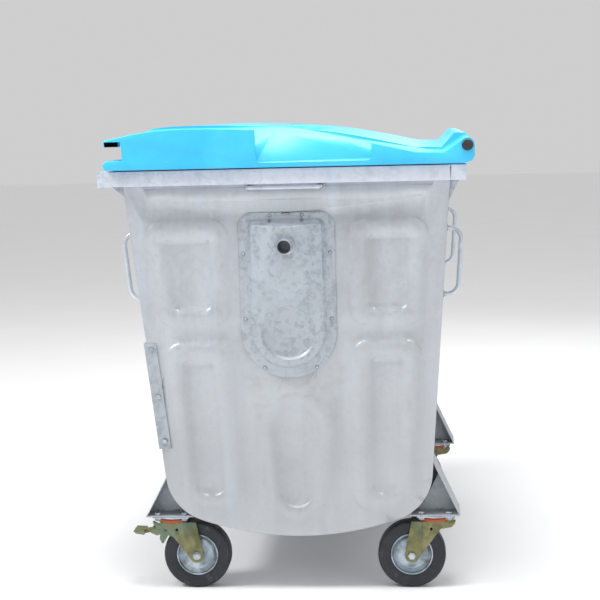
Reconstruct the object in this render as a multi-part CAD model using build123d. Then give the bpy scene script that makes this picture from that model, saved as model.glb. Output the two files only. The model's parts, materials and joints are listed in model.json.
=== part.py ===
from build123d import *
import os
from math import asin, cos, radians, sin, tan

# Four-wheeled waste container: a galvanised steel tub with a hinged plastic lid.
# Millimetres, +Z up, the floor at Z = 0. X runs from trunnion to trunnion, the
# front with the comb rail and the lid's grip faces -Y, and the lid's hinge is at +Y.

# Tub: outside of the sheet, measured at the underside of the rim
RIM_TOP_Z = 1249.0
RIM_HEIGHT = 43.0
SIDE_X = 602.0
FRONT_Y = -465.0
REAR_Y = 467.0
SIDE_DRAFT = 2.2
FRONT_DRAFT = 5.9
REAR_DRAFT = 4.1
BOTTOM_Z = 168.0
BOTTOM_Y = 14.0
BOTTOM_RADIUS = 870.0
CORNER_RADIUS = 150.0
SHEET = 2.0

# Rim rails
RAIL_SHEET = 2.0
SIDE_RAIL_X = 655.0
SIDE_RAIL_FRONT = 40.0
REAR_RAIL_WIDTH = 45.0
REAR_RAIL_SETBACK = 3.0
COMB_WIDTH = 70.0
COMB_SETBACK = 33.0
COMB_DROP = 47.0
COMB_BEND_RADIUS = 9.0
COMB_LIP = 9.0
GUSSET_THICKNESS = 4.0
FRONT_GUSSET_REACH = 37.0
FRONT_GUSSET_DROP = 34.0
REAR_GUSSET_REACH = 26.0
REAR_GUSSET_DROP = 62.0
GUSSET_XS = (-590.0, -295.0, 0.0, 295.0, 590.0)

# Pressings of the side panel: corners as (Y, height, radius). Heights of the band and
# the upper pair are taken from the underside of the rim, the others from the tub's bottom
PRESS_HEIGHT = 8.0
PRESS_RUN = 8.0
BAND_HEIGHT = 5.0
BAND = ((-411.0, -8.0, 3.0), (422.0, -8.0, 3.0), (404.0, -49.0, 30.0), (-389.0, -49.0, 30.0))
UPPER_FRONT = ((-411.0, -97.0, 50.0), (-166.0, -97.0, 50.0), (-166.0, -412.0, 50.0), (-380.0, -412.0, 50.0))
UPPER_FRONT_WELL = ((-349.0, -159.0, 13.0), (-226.0, -159.0, 13.0), (-226.0, -358.0, 13.0), (-328.0, -358.0, 13.0))
UPPER_REAR = ((172.0, -100.0, 50.0), (410.0, -100.0, 50.0), (389.0, -414.0, 50.0), (172.0, -414.0, 50.0))
UPPER_REAR_WELL = ((236.0, -155.0, 13.0), (349.0, -155.0, 13.0), (336.0, -360.0, 13.0), (236.0, -360.0, 13.0))
LOWER_FRONT = ((-366.0, 583.0, 45.0), (-168.0, 583.0, 45.0), (-138.0, 74.0, 58.0), (-318.0, 74.0, 95.0))
LOWER_FRONT_WELL = ((-311.0, 524.0, 13.0), (-226.0, 524.0, 13.0), (-204.0, 130.0, 28.0), (-278.0, 130.0, 34.0))
LOWER_REAR = ((184.0, 585.0, 38.0), (386.0, 585.0, 45.0), (350.0, 72.0, 92.0), (172.0, 72.0, 52.0))
LOWER_REAR_WELL = ((238.0, 528.0, 13.0), (324.0, 528.0, 13.0), (300.0, 132.0, 34.0), (236.0, 132.0, 26.0))
EGG = (14.0, 335.0, 113.0, 128.0, 90.0)
EGG_WELL = (10.0, 326.0, 65.0, 138.0, 45.0)

# Trunnion and its plate on the side panel: heights are taken from the trunnion's axis
TRUNNION_DROP = 176.0
TRUNNION_END_X = 685.0
TRUNNION_RADIUS = 21.2
TRUNNION_WALL = 2.6
COLLAR_RADIUS = 26.0
COLLAR_LENGTH = 5.0
SEAT_CLEARANCE = 0.05
PLATE_SHEET = 3.0
PLATE_HALF_WIDTH = 138.0
PLATE_TOP = 93.0
PLATE_CORNER_RADIUS = 40.0
PLATE_ARCH = -249.0
RAISED_HALF_WIDTH = 111.0
RAISED_TOP = 75.0
RAISED_CORNER_RADIUS = 24.0
RAISED_HEIGHT = 10.0
RAISED_RUN = 9.0
DISH_CENTRE = -254.0
DISH_RADIUS = 80.0
DISH_DEPTH = 7.0
PROW_HALF_WIDTH = 102.0
PROW_HEIGHT = 30.0
PROW_FALL = 8.0
PROW_FACE_TOP = 55.0
PROW_SHOULDER_TOP = 60.0
PROW_FACE_WIDE = -102.0
PROW_FACE_TIP = -132.0
PROW_STEP_SIDE = -102.0
PROW_STEP_TIP = -156.0
PROW_FACE_TOP_HALF = 31.0
PROW_FACE_WIDE_HALF = 66.0
PROW_TIP_HALF = 25.0
PROW_SIDE = -24.0
PROW_SIDE_HEIGHT = 6.0
RIVET_RADIUS = 5.5
RIVET_HEIGHT = 4.0
RIVET_SHANK = 3.0
RIVET_SPOTS = ((-124.0, -24.0), (-124.0, -215.0), (124.0, -24.0), (124.0, -215.0),
               (-73.0, -357.0), (78.0, -357.0), (-46.0, 84.5), (46.0, 84.5))
VENT_RADIUS = 4.5
VENT_SPOT = 46.0
RELIEF_HALF_WIDTH = 13.0
RELIEF_HEIGHT = 7.0

# Hook bar under each side rail
HOOK_BAR_RADIUS = 6.0
HOOK_BAR_HALF_LENGTH = 103.0
HOOK_BAR_DROP = 11.0
HOOK_BAR_REACH = 38.0
HOOK_BAR_BEND = 13.0

# Grab handles on the front and rear walls
HANDLE_X = 480.0
HANDLE_RADIUS = 6.5
HANDLE_TOP_DROP = 145.0
HANDLE_LENGTH = 193.0
HANDLE_REACH = 44.0
HANDLE_BEND = 33.0

# Guard strips along the front corners
GUARD_DROP = 458.0
GUARD_LENGTH = 314.0
GUARD_WIDTH = 36.0
GUARD_PROUD = 7.0
GUARD_SHEET = 3.0
GUARD_RETURN = 30.0
GUARD_BOLT_RADIUS = 4.0
GUARD_BOLT_DROPS = (19.0, 157.0, 291.0)
GUARD_BOLT_INSET = 20.0

# Casters, in their own frame: swivel axis at X = Y = 0, the wheel trails along +Y
CASTER_X = 500.0
CASTER_FRONT_Y = -368.0
CASTER_REAR_Y = 411.0
WHEEL_RADIUS = 100.0
TYRE_WIDTH = 50.0
TYRE_DEPTH = 38.0
TYRE_SHOULDER = 9.0
TRAIL = 70.0
CROWN_GAP = 2.0
CROWN_THICKNESS = 4.0
CROWN_REACH_BACK = 38.0
RACE_RADIUS = 41.0
SEAL_RADIUS = 44.0
SEAL_HEIGHT = 10.0
RACE_HEIGHT = 9.6
TOP_PLATE_X = 135.0
TOP_PLATE_Y = 110.0
TOP_PLATE_THICKNESS = 4.0
HOLE_SPACING_X = 105.0
HOLE_SPACING_Y = 80.0
BOLT_RADIUS = 5.0
BOLT_CLEARANCE = 0.5
KINGPIN_RADIUS = 8.0
LEG_INNER_X = 28.5
LEG_SHEET = 4.5
LEG_STRIP = 2.5
AXLE_RADIUS = 6.0
AXLE_CLEARANCE = 0.06
AXLE_EYE_RADIUS = 21.0
HUB_HALF_LENGTH = 26.0
HUB_BORE_RADIUS = 14.0
HUB_RADIUS = 19.0
BEARING_WIDTH = 11.0
PEDAL_PIVOT_Y = -24.0
PEDAL_PIVOT_RISE = 75.0
PEDAL_PIN_RADIUS = 4.0
PEDAL_ARM_X = 24.0
PEDAL_PAD_HALF = 30.0
RUNNING_GAP = 0.4

# Brackets between the tub and the casters
BRACKET_SHEET = 4.0
BRACKET_OUT = 73.0
BRACKET_IN = 70.0
BRACKET_HALF_X = 66.0
FRONT_APEX = 121.0
REAR_APEX = 164.0
FRONT_WEB_DROP = 6.0
REAR_WEB_DROP = 45.0
WEB_RUN = 2.2

# Drain in the bottom
DRAIN_RADIUS = 22.0
DRAIN_WALL = 5.0
DRAIN_LENGTH = 24.0
DRAIN_FLANGE = 12.0
PLUG_CLEARANCE = 0.3

# Lid: heights are taken from the top of the rim
LID_HALF_LENGTH = 672.0
LID_WALL = 5.0
LID_LOW = 3.5
LIP_Y = -508.0
LIP_TOP = 31.0
GRIP_DEPTH = 55.0
GRIP_TOP = 70.0
NOSE_Y = -505.0
NOSE_TOP = 89.0
CROWN = ((-417.0, 105.0), (-360.0, 112.0), (-278.0, 116.0), (-180.0, 114.5), (-87.0, 110.0),
         (52.0, 99.0), (158.0, 84.0), (249.0, 66.0), (370.0, 38.0))
DIP_Y = 450.0
DIP = 36.0
PANEL_RISE_FRONT = 7.0
PANEL_RISE_REAR = 12.0
PANEL_RAMP = 30.0
PANEL_INSET_X = 42.0
PANEL_FRONT_Y = -395.0
RIDGE_FRONT = 35.0
RIDGE_BACK = 6.0
RIDGE_RISE = 33.0
GRIP_GROOVES = 6
GRIP_GROOVE_WIDTH = 5.0
GRIP_GROOVE_DEPTH = 11.0
SIDE_RECESS = ((-77.0, 127.0, 0.0), (253.0, 127.0, 0.0), (248.0, 17.0, 12.0), (-72.0, 17.0, 12.0))
SIDE_RECESS_DEPTH = 6.0
LID_RIB = 4.0
LID_RIB_HEIGHT = 18.0
LID_RIB_XS = (-480.0, -240.0, 0.0, 240.0, 480.0)

# Lid hinge
HINGE_BACK = 48.0
HINGE_RISE = 54.0
ROD_RADIUS = 8.0
ROD_CLEARANCE = 0.06
BOSS_RADIUS = 20.0
BOSS_LOW = 25.0
CLOSING_RIB = 52.0
NOTCH_BACK = 47.0
NOTCH_HALF = 25.0
KNUCKLE_WALL = 12.0
HINGE_XS = (-500.0, -170.0, 170.0, 500.0)
LUG_HALF = 15.0
LUG_FOOT_HALF = 21.0
LUG_EYE_RADIUS = 14.5
LUG_FRONT = 38.0
LUG_BACK = 8.0
LUG_FOOT = 4.0
CAP_RADIUS = 16.0
CAP_LENGTH = 8.0
CAP_GAP = 0.5

# Derived places
RIM_LOW_Z = RIM_TOP_Z - RIM_HEIGHT
WALL_TOP_Z = RIM_TOP_Z - RAIL_SHEET
SIDE_RAIL_FRONT_Y = FRONT_Y - SIDE_RAIL_FRONT
REAR_RAIL_Y = REAR_Y + REAR_RAIL_WIDTH
COMB_Y = FRONT_Y - COMB_WIDTH
COMB_HALF_LENGTH = SIDE_RAIL_X - COMB_SETBACK
TRUNNION_Z = RIM_LOW_Z - TRUNNION_DROP
HOOK_BAR_Z = RIM_LOW_Z - HOOK_BAR_DROP
HANDLE_TOP_Z = RIM_LOW_Z - HANDLE_TOP_DROP
HANDLE_LOW_Z = HANDLE_TOP_Z - HANDLE_LENGTH
GUARD_TOP_Z = RIM_LOW_Z - GUARD_DROP
GUARD_LOW_Z = GUARD_TOP_Z - GUARD_LENGTH
HINGE_Y = REAR_Y + HINGE_BACK
HINGE_Z = RIM_TOP_Z + HINGE_RISE
GRIP_BACK_Y = LIP_Y + GRIP_DEPTH
CLOSING_RIB_Y = HINGE_Y - CLOSING_RIB
NOTCH_Y = HINGE_Y - NOTCH_BACK
AXLE_Z = WHEEL_RADIUS
TYRE_SEAT_RADIUS = WHEEL_RADIUS - TYRE_DEPTH
CROWN_TOP_Z = 2 * WHEEL_RADIUS + CROWN_GAP
CROWN_LOW_Z = CROWN_TOP_Z - CROWN_THICKNESS
PLATE_BOTTOM_Z = CROWN_TOP_Z + SEAL_HEIGHT + RUNNING_GAP + RACE_HEIGHT
MOUNT_Z = PLATE_BOTTOM_Z + TOP_PLATE_THICKNESS
PEDAL_PIVOT_Z = AXLE_Z + PEDAL_PIVOT_RISE
SPAN = 2 * TRUNNION_END_X
SIDE_TAN = tan(radians(SIDE_DRAFT))
CASTERS = (("front_right", CASTER_X, CASTER_FRONT_Y, 0), ("front_left", -CASTER_X, CASTER_FRONT_Y, 0),
           ("rear_right", CASTER_X, CASTER_REAR_Y, 180), ("rear_left", -CASTER_X, CASTER_REAR_Y, 180))

os.makedirs("parts", exist_ok=True)


def front_y(z, inset=0.0):
    """Y of the front wall's outside at a height, moved in by inset."""
    return FRONT_Y + (RIM_LOW_Z - z) * tan(radians(FRONT_DRAFT)) + inset / cos(radians(FRONT_DRAFT))


def rear_y(z, inset=0.0):
    """Y of the rear wall's outside at a height, moved in by inset."""
    return REAR_Y - (RIM_LOW_Z - z) * tan(radians(REAR_DRAFT)) - inset / cos(radians(REAR_DRAFT))


def side_x(z, inset=0.0):
    """X of the right side panel's outside at a height, moved in by inset."""
    return SIDE_X - (RIM_LOW_Z - z) * SIDE_TAN - inset / cos(radians(SIDE_DRAFT))


def polygon(points):
    """Flat face through the points, in the sketch plane."""
    return make_face(Polyline(*points, close=True))


def nearest(shape, u, v):
    """The vertex of a flat shape nearest to a point."""
    return sorted(shape.vertices(), key=lambda c: (c.X - u) ** 2 + (c.Y - v) ** 2)[:1]


def rounded_polygon(corners, grow=0.0):
    """Face with its corners given as (u, v, radius), grown outward by grow."""
    face = polygon([(u, v) for u, v, radius in corners])
    if grow:
        face = offset(face, amount=grow, kind=Kind.INTERSECTION)
    for u, v, radius in corners:
        if radius + grow > 0.5:
            face = fillet(nearest(face, u, v), radius + grow)
    return face


def along_x(section, x0, x1):
    """Solid of a YZ section between two X stations."""
    return extrude(Plane.YZ.offset(x0) * section, amount=x1 - x0, dir=(1, 0, 0))


def along_y(section, y0, y1):
    """Solid of a section in X and Z between two Y stations."""
    frame = Plane(origin=(0, y0, 0), x_dir=(1, 0, 0), z_dir=(0, -1, 0))
    return extrude(frame * section, amount=y1 - y0, dir=(0, 1, 0))


def box(x0, x1, y0, y1, z0, z1):
    """Block between two corners."""
    return Pos((x0 + x1) / 2, (y0 + y1) / 2, (z0 + z1) / 2) * Box(abs(x1 - x0), abs(y1 - y0), abs(z1 - z0))


def rod_x(x0, x1, y, z, radius):
    """Round bar along X."""
    return along_x(Pos(y, z) * Circle(radius), x0, x1)


def upright(x, y, z0, z1, radius):
    """Round bar along Z."""
    return Pos(x, y, (z0 + z1) / 2) * Cylinder(radius, abs(z1 - z0))


def mirrored(shape):
    """The same shape on the other side of the container."""
    return mirror(shape, about=Plane.YZ)


def tub_section(inset=0.0, top=WALL_TOP_Z):
    """YZ outline of the tub, inset from its outside."""
    sides = polygon([(front_y(top, inset), top), (rear_y(top, inset), top),
                     (rear_y(0, inset), 0), (front_y(0, inset), 0)])
    radius = BOTTOM_RADIUS - inset
    centre_z = BOTTOM_Z + BOTTOM_RADIUS
    bowl = Pos(BOTTOM_Y, centre_z) * Circle(radius) + Pos(BOTTOM_Y, centre_z + radius) * Rectangle(2 * radius, 2 * radius)
    section = sides & bowl
    corners = section.vertices().sort_by(Axis.Y)[:2]
    return fillet(corners, CORNER_RADIUS - inset)


def side_wedge(inset=0.0):
    """Solid between the two side panels' outsides, inset from them."""
    low = side_x(0, inset)
    high = side_x(RIM_TOP_Z, inset)
    section = polygon([(-low, 0), (low, 0), (high, RIM_TOP_Z), (-high, RIM_TOP_Z)])
    return along_y(section, COMB_Y, -COMB_Y)


def mantle_sheet():
    """Front wall, bottom and rear wall, bent from one sheet."""
    band = tub_section() - tub_section(SHEET, WALL_TOP_Z + SHEET)
    sheet = along_x(band, -SIDE_RAIL_X, SIDE_RAIL_X) & side_wedge(SHEET)
    return sheet - upright(0, BOTTOM_Y, BOTTOM_Z - SHEET, BOTTOM_Z + 4 * SHEET, DRAIN_RADIUS + DRAIN_WALL)


def panel_plane(z):
    """Plane on the right side panel's outside with its origin at a height."""
    lean = radians(SIDE_DRAFT)
    return Plane(origin=(side_x(z), 0, z), x_dir=(0, 1, 0), z_dir=(cos(lean), 0, -sin(lean)))


RIM_PLANE = panel_plane(RIM_LOW_Z)
FOOT_PLANE = panel_plane(BOTTOM_Z)
TRUNNION_PLANE = panel_plane(TRUNNION_Z)
GUARD_PLANE = panel_plane(GUARD_TOP_Z)


def tapered(plane, low_shape, high_shape, start, height):
    """Solid between two outlines standing on a plane of the side panel."""
    low = plane.offset(start) * low_shape
    high = plane.offset(start + height) * high_shape
    return loft([low.face(), high.face()], ruled=True)


def standing(plane, shape, start, end):
    """Straight solid on a plane of the side panel between two lifts off it."""
    return extrude(plane.offset(start) * shape, amount=end - start)


def side_slab(start, end):
    """Everything between two lifts off the right side panel's outside."""
    return standing(RIM_PLANE, Rectangle(4 * RIM_TOP_Z, 4 * RIM_TOP_Z), start, end)


def plateau(plane, outline, well, start, height, inset):
    """Raised field with a well in it, drawn in by inset on every edge."""
    solid = tapered(plane, outline(-inset), outline(-inset - height), start, height)
    if well:
        solid -= tapered(plane, well(inset), well(inset + height), start, height)
    return solid


def egg(middle, top_v, top_radius, low_v, low_radius, grow=0.0):
    """Outline round two circles, one above the other."""
    upper = top_radius + grow
    lower = low_radius + grow
    lean = asin((upper - lower) / (top_v - low_v))
    side = cos(lean)
    rise = sin(lean)
    core = polygon([(middle - upper * side, top_v - upper * rise), (middle + upper * side, top_v - upper * rise),
                    (middle + lower * side, low_v - lower * rise), (middle - lower * side, low_v - lower * rise)])
    arcs = Pos(middle, top_v) * Circle(upper) + Pos(middle, low_v) * Circle(lower)
    return core + arcs


def panel_pressings():
    """Plane, outline, well and height of every pressing of the side panel."""
    rounded = ((RIM_PLANE, UPPER_FRONT, UPPER_FRONT_WELL), (RIM_PLANE, UPPER_REAR, UPPER_REAR_WELL),
               (FOOT_PLANE, LOWER_FRONT, LOWER_FRONT_WELL), (FOOT_PLANE, LOWER_REAR, LOWER_REAR_WELL))
    pressings = []
    for plane, outer, inner in rounded:
        pressings.append((plane, lambda g, o=outer: rounded_polygon(o, g), lambda g, w=inner: rounded_polygon(w, g),
                          PRESS_HEIGHT))
    pressings.append((FOOT_PLANE, lambda g: egg(*EGG, g), lambda g: egg(*EGG_WELL, g), PRESS_HEIGHT))
    pressings.append((RIM_PLANE, lambda g: rounded_polygon(BAND, g), None, BAND_HEIGHT))
    return pressings


def side_panel():
    """Right side panel with its pressings and the holes for rivets and bolts."""
    plate = along_x(tub_section(), 0, SIDE_RAIL_X) & (side_wedge() - side_wedge(SHEET))
    wall_shift = SHEET * (2 ** 0.5 - 1)
    for plane, outline, well, height in panel_pressings():
        plate += plateau(plane, outline, well, 0, height, 0)
        plate -= plateau(plane, outline, well, -SHEET, height, wall_shift)
    for v, u in [(z, y) for y, z in RIVET_SPOTS]:
        plate -= standing(TRUNNION_PLANE, Pos(u, v) * Circle(RIVET_SHANK + SEAT_CLEARANCE), -2 * SHEET, SHEET)
    for spot in guard_bolt_spots():
        plate -= standing(GUARD_PLANE, spot * Circle(GUARD_BOLT_RADIUS + SEAT_CLEARANCE), -2 * SHEET, SHEET)
    return plate


def arched(half_width, top, corner_radius, grow=0.0):
    """Outline with rounded upper corners and a half round foot."""
    half = half_width + grow
    block = Pos(0, (top + grow + PLATE_ARCH) / 2) * Rectangle(2 * half, top + grow - PLATE_ARCH)
    block = fillet(block.vertices().group_by(Axis.Y)[-1], corner_radius + grow)
    foot = Pos(0, PLATE_ARCH) * Circle(half)
    return block + (foot - Pos(0, PLATE_ARCH + half) * Rectangle(2 * half, 2 * half))


def raised_outline(grow):
    """Outline of the trunnion plate's raised field."""
    return arched(RAISED_HALF_WIDTH, RAISED_TOP, RAISED_CORNER_RADIUS, grow)


def through(points):
    """Plane through three points, its normal by the right hand rule."""
    a, b, c = [Vector(*p) for p in points]
    return Plane(origin=a, x_dir=b - a, z_dir=(b - a).cross(c - a))


def prow_height(v):
    """Height of the prow's flat face above the raised field, at a height on it."""
    return PROW_HEIGHT - PROW_FALL * (PROW_FACE_TOP - v) / (PROW_FACE_TOP - PROW_FACE_TIP)


def flank_height(u, v):
    """Height of the prow's flank above the raised field, at a point on it."""
    du1 = PROW_FACE_WIDE_HALF - PROW_FACE_TOP_HALF
    dv1 = PROW_FACE_WIDE - PROW_FACE_TOP
    dh1 = prow_height(PROW_FACE_WIDE) - PROW_HEIGHT
    du2 = PROW_HALF_WIDTH - PROW_FACE_TOP_HALF
    dv2 = PROW_SIDE - PROW_FACE_TOP
    dh2 = PROW_SIDE_HEIGHT - PROW_HEIGHT
    det = du1 * dv2 - du2 * dv1
    slope_u = (dh1 * dv2 - dh2 * dv1) / det
    slope_v = (du1 * dh2 - du2 * dh1) / det
    return PROW_HEIGHT + slope_u * (u - PROW_FACE_TOP_HALF) + slope_v * (v - PROW_FACE_TOP)


def prow_planes():
    """Outer faces of the prow, in the plate's frame above the raised field."""
    tip = prow_height(PROW_FACE_TIP)
    foot = RAISED_TOP - RAISED_RUN
    shoulder = flank_height(PROW_HALF_WIDTH, PROW_SHOULDER_TOP)
    face = [(0, PROW_FACE_TOP, PROW_HEIGHT), (-1, PROW_FACE_TIP, tip), (1, PROW_FACE_TIP, tip)]
    top = [(-1, foot, 0), (0, PROW_FACE_TOP, PROW_HEIGHT), (1, foot, 0)]
    toe = [(-1, PROW_STEP_TIP, 0), (1, PROW_STEP_TIP, 0), (0, PROW_FACE_TIP, tip)]
    planes = [through(face), through(top), through(toe)]
    for side in (-1, 1):
        corner = (side * PROW_FACE_TOP_HALF, PROW_FACE_TOP, PROW_HEIGHT)
        edge = (side * PROW_HALF_WIDTH, PROW_SHOULDER_TOP, shoulder)
        flank = [corner, (side * PROW_FACE_WIDE_HALF, PROW_FACE_WIDE, prow_height(PROW_FACE_WIDE)), edge]
        slope = [corner, edge, (side * PROW_FACE_TOP_HALF, foot, 0)]
        step = [(side * PROW_HALF_WIDTH, PROW_STEP_SIDE, 0), (side * PROW_TIP_HALF, PROW_STEP_TIP, 0),
                (side * (PROW_TIP_HALF - 1), PROW_FACE_TIP, tip)]
        planes += [through(flank), through(slope), through(step)]
    return planes


def prow(inset, depth):
    """Prow of the trunnion plate in the plate's frame, from depth below the raised field."""
    foot = raised_outline(-RAISED_RUN - inset)
    solid = Pos(0, 0, -depth) * extrude(foot, amount=depth + PROW_HEIGHT)
    middle = Vector(0, (PROW_FACE_TOP + PROW_FACE_TIP) / 2, 0)
    for plane in prow_planes():
        outward = plane.z_dir if plane.z_dir.dot(middle - plane.origin) < 0 else -plane.z_dir
        cut = Plane(origin=plane.origin - outward * inset, z_dir=outward)
        solid = split(solid, bisect_by=cut, keep=Keep.BOTTOM)
    return solid


def on_raised(shape):
    """Places a shape of the plate's frame on the raised field of the right plate."""
    return TRUNNION_PLANE.offset(PLATE_SHEET + RAISED_HEIGHT).location * shape


def trunnion_plate():
    """Right trunnion plate: flange, raised field, dish and prow."""
    plane = TRUNNION_PLANE
    level = PLATE_SHEET + RAISED_HEIGHT
    wall_shift = PLATE_SHEET * 0.4
    flange = standing(plane, arched(PLATE_HALF_WIDTH, PLATE_TOP, PLATE_CORNER_RADIUS), 0, PLATE_SHEET)
    raised = tapered(plane, raised_outline(0), raised_outline(-RAISED_RUN), PLATE_SHEET, RAISED_HEIGHT)
    pocket = tapered(plane, raised_outline(-wall_shift), raised_outline(-wall_shift - RAISED_RUN), 0, RAISED_HEIGHT)
    middle = Pos(0, DISH_CENTRE)
    dish = tapered(plane, middle * Circle(DISH_RADIUS - DISH_DEPTH), middle * Circle(DISH_RADIUS),
                   level - DISH_DEPTH, DISH_DEPTH)
    back = DISH_RADIUS + wall_shift
    dish_back = tapered(plane, middle * Circle(back - DISH_DEPTH), middle * Circle(back + 1),
                        RAISED_HEIGHT - DISH_DEPTH, DISH_DEPTH + 1)
    hollow = on_raised(prow(PLATE_SHEET, 2 * level)) & side_slab(0, 4 * level)
    plate = flange + raised + on_raised(prow(0, RAISED_HEIGHT))
    plate -= pocket - dish_back
    plate -= hollow
    plate -= dish
    channel = PLATE_HALF_WIDTH - RAISED_HALF_WIDTH
    relief = Pos(0, PLATE_ARCH - RAISED_HALF_WIDTH - channel / 2) * Rectangle(2 * RELIEF_HALF_WIDTH, channel + 4)
    plate -= standing(plane, relief, PLATE_SHEET - 1, PLATE_SHEET + RELIEF_HEIGHT)
    plate -= standing(plane, Pos(0, PLATE_TOP - 4) * SlotOverall(2 * RELIEF_HALF_WIDTH, RELIEF_HEIGHT), -1, 2 * PLATE_SHEET)
    for side in (-1, 1):
        vent = Pos(side * VENT_SPOT, RAISED_TOP - RAISED_RUN / 2) * Circle(VENT_RADIUS)
        plate -= standing(plane, vent, -1, 2 * level)
    for u, v in RIVET_SPOTS:
        plate -= standing(plane, Pos(u, v) * Circle(RIVET_SHANK + SEAT_CLEARANCE), -1, 2 * PLATE_SHEET)
    return plate - trunnion_bar(TRUNNION_RADIUS + SEAT_CLEARANCE)


def trunnion_bar(radius):
    """Round bar on the trunnion's axis, from inside the tub to the trunnion's end."""
    return rod_x(side_x(TRUNNION_Z) - 40, TRUNNION_END_X, 0, TRUNNION_Z, radius)


def trunnion_tube():
    """Right trunnion: a tube on the panel, with a collar on the prow's face."""
    tube = trunnion_bar(TRUNNION_RADIUS) & side_slab(0, 3 * PLATE_HALF_WIDTH)
    face_x = side_x(TRUNNION_Z) + PLATE_SHEET + RAISED_HEIGHT + prow_height(0)
    collar = rod_x(face_x - 6, face_x + COLLAR_LENGTH, 0, TRUNNION_Z, COLLAR_RADIUS)
    tube += collar - on_raised(prow(0, PLATE_SHEET))
    return tube - trunnion_bar(TRUNNION_RADIUS - TRUNNION_WALL)


def trunnion_rivets():
    """Rivets of both trunnion plates, through flange and panel."""
    rivets = []
    for u, v in RIVET_SPOTS:
        spot = Pos(u, v)
        rivet = tapered(TRUNNION_PLANE, spot * Circle(RIVET_RADIUS), spot * Circle(0.55 * RIVET_RADIUS),
                        PLATE_SHEET, RIVET_HEIGHT)
        rivet += standing(TRUNNION_PLANE, spot * Circle(RIVET_SHANK), -SHEET, PLATE_SHEET)
        rivet += standing(TRUNNION_PLANE, spot * Circle(RIVET_RADIUS), -SHEET - RIVET_HEIGHT / 2, -SHEET)
        rivets += [rivet, mirrored(rivet)]
    return rivets


def side_rail():
    """Right rim rail: a channel over the panel's upper edge."""
    top = RIM_TOP_Z
    outer = SIDE_RAIL_X
    low = RIM_LOW_Z
    inner = side_x(top, SHEET + 4)
    t = RAIL_SHEET
    section = polygon([(inner, top), (outer, top), (outer, low), (side_x(low), low), (side_x(low + t), low + t),
                       (outer - t, low + t), (outer - t, top - t), (inner, top - t)])
    rail = along_y(section, SIDE_RAIL_FRONT_Y, REAR_Y)
    closing = polygon([(side_x(low), low), (outer, low), (outer, top), (side_x(top), top)])
    return rail + along_y(closing, SIDE_RAIL_FRONT_Y - t, SIDE_RAIL_FRONT_Y)


def corner_room():
    """The side rails' space, which the front and rear rails stay out of."""
    over = box(side_x(RIM_TOP_Z, SHEET + 5), SPAN, SIDE_RAIL_FRONT_Y - RAIL_SHEET, REAR_Y, RIM_LOW_Z, RIM_TOP_Z)
    return over + mirrored(over)


def rear_rail():
    """Rear rim rail with closed ends."""
    t = RAIL_SHEET
    low = RIM_LOW_Z
    half = SIDE_RAIL_X - REAR_RAIL_SETBACK
    inner = rear_y(RIM_TOP_Z, SHEET + 4)
    section = polygon([(inner, RIM_TOP_Z), (REAR_RAIL_Y, RIM_TOP_Z), (REAR_RAIL_Y, low), (rear_y(low), low),
                       (rear_y(low + t), low + t), (REAR_RAIL_Y - t, low + t), (REAR_RAIL_Y - t, RIM_TOP_Z - t),
                       (inner, RIM_TOP_Z - t)])
    rail = along_x(section, -half, half) - corner_room()
    end = polygon([(rear_y(low), low), (REAR_RAIL_Y, low), (REAR_RAIL_Y, RIM_TOP_Z), (rear_y(RIM_TOP_Z), RIM_TOP_Z)])
    return rail + along_x(end, half - t, half) + along_x(end, -half, t - half)


def comb_rail():
    """Front rim rail: a channel open below, which a lifting comb enters."""
    t = RAIL_SHEET
    low = RIM_TOP_Z - COMB_DROP
    inner = front_y(RIM_TOP_Z, SHEET + 4)
    section = polygon([(inner, RIM_TOP_Z), (COMB_Y, RIM_TOP_Z), (COMB_Y, low), (COMB_Y + COMB_LIP, low),
                       (COMB_Y + COMB_LIP, low + t), (COMB_Y + t, low + t), (COMB_Y + t, RIM_TOP_Z - t),
                       (inner, RIM_TOP_Z - t)])
    section = fillet(nearest(section, COMB_Y, RIM_TOP_Z), COMB_BEND_RADIUS)
    section = fillet(nearest(section, COMB_Y + t, RIM_TOP_Z - t), COMB_BEND_RADIUS - t)
    half = COMB_HALF_LENGTH
    rail = along_x(section, -half, half) - corner_room()
    web = polygon([(COMB_Y + t, low + t), (COMB_Y + t, RIM_TOP_Z - COMB_BEND_RADIUS),
                   (COMB_Y + COMB_BEND_RADIUS, RIM_TOP_Z - t), (front_y(RIM_TOP_Z - t), RIM_TOP_Z - t),
                   (front_y(RIM_LOW_Z), RIM_LOW_Z)])
    inside = half - GUSSET_THICKNESS
    web = (along_x(web, inside, half) + along_x(web, -half, -inside)) - corner_room()
    return rail + web


def rim_gussets():
    """Triangular plates under the front and rear rails."""
    front = polygon([(front_y(RIM_LOW_Z), RIM_LOW_Z), (front_y(RIM_LOW_Z) - FRONT_GUSSET_REACH, RIM_LOW_Z),
                     (front_y(RIM_LOW_Z - FRONT_GUSSET_DROP), RIM_LOW_Z - FRONT_GUSSET_DROP)])
    low = RIM_LOW_Z - REAR_GUSSET_DROP
    rear = polygon([(rear_y(RIM_LOW_Z), RIM_LOW_Z), (rear_y(RIM_LOW_Z) + REAR_GUSSET_REACH, RIM_LOW_Z),
                    (rear_y(RIM_LOW_Z - 30) + 14, RIM_LOW_Z - 30), (rear_y(low), low)])
    half = GUSSET_THICKNESS / 2
    return [along_x(plate, x - half, x + half) for x in GUSSET_XS for plate in (front, rear)]


def bent_rod(points, bend, radius):
    """Round rod along straight runs with rounded bends."""
    path = FilletPolyline(*points, radius=bend)
    start = Plane(origin=path @ 0, z_dir=path % 0)
    return sweep(start * Circle(radius), path=path)


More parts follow.
